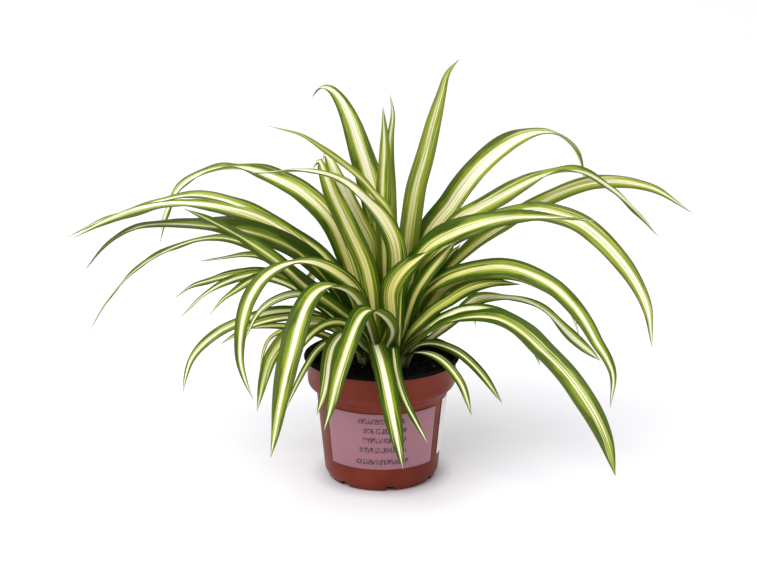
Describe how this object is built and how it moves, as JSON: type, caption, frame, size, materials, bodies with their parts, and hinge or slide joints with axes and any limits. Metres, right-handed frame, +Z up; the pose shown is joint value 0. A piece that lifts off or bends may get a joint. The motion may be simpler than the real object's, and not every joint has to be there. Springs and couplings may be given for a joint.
{
  "type": "potted spider plant",
  "caption": "Spider plant with long arching cream-striped leaves in a round terracotta-coloured nursery pot.",
  "frame": {"origin": "middle of the pot's foot, on the surface it stands on", "axes": "+Z up, +X to the right of the pictured side, +Y to the back"},
  "size_m": [0.4998, 0.2773, 0.3174],
  "materials": {
    "terracotta_plastic": "satin",
    "peat": "rough, crumbly",
    "mauve_label": "satin",
    "white_label": "satin",
    "pale_leaf_base": "satin",
    "leaf": "satin"
  },
  "bodies": {
    "root": {"pot": "terracotta_plastic", "soil": "peat", "front_label": "mauve_label", "side_label": "white_label", "crown_left": "pale_leaf_base", "crown_front": "pale_leaf_base", "crown_right": "pale_leaf_base", "crown_back": "pale_leaf_base", "crown_rear_right": "pale_leaf_base", "leaf_high_left": "leaf", "leaf_long_left": "leaf", "leaf_under_left": "leaf", "leaf_level_left": "leaf", "leaf_straight_left": "leaf", "leaf_silver_left": "leaf", "leaf_short_left": "leaf", "leaf_fan_rear": "leaf", "leaf_fan_middle": "leaf", "leaf_fan_front": "leaf", "leaf_arch_left": "leaf", "leaf_broad_front": "leaf", "leaf_middle_front": "leaf", "leaf_rim_front": "leaf", "leaf_label_front": "leaf", "leaf_label_right": "leaf", "leaf_rim_left": "leaf", "leaf_hanging_left": "leaf", "leaf_tucked_left": "leaf", "leaf_bow_left": "leaf", "leaf_low_left": "leaf", "leaf_slim_left": "leaf", "leaf_rim_right": "leaf", "leaf_low_right": "leaf", "leaf_broad_right": "leaf", "leaf_hidden_right": "leaf", "leaf_high_arch_right": "leaf", "leaf_behind_right": "leaf", "leaf_slim_right": "leaf", "leaf_short_right": "leaf", "leaf_level_right": "leaf", "leaf_far_right": "leaf", "leaf_wavy_right": "leaf", "leaf_high_right": "leaf", "leaf_long_right": "leaf", "leaf_tall": "leaf", "leaf_upright_rear": "leaf", "leaf_upright": "leaf", "leaf_top_left": "leaf", "leaf_diagonal": "leaf", "leaf_crossing": "leaf", "leaf_cream": "leaf", "leaf_inner_left": "leaf", "leaf_centre": "leaf", "leaf_inner_right": "leaf", "leaf_shaded_right": "leaf", "leaf_rear_right": "leaf", "leaf_rear_middle": "leaf", "leaf_rear_left": "leaf", "leaf_rear_low": "leaf", "leaf_rear_hanging": "leaf"}
  },
  "joints": []
}
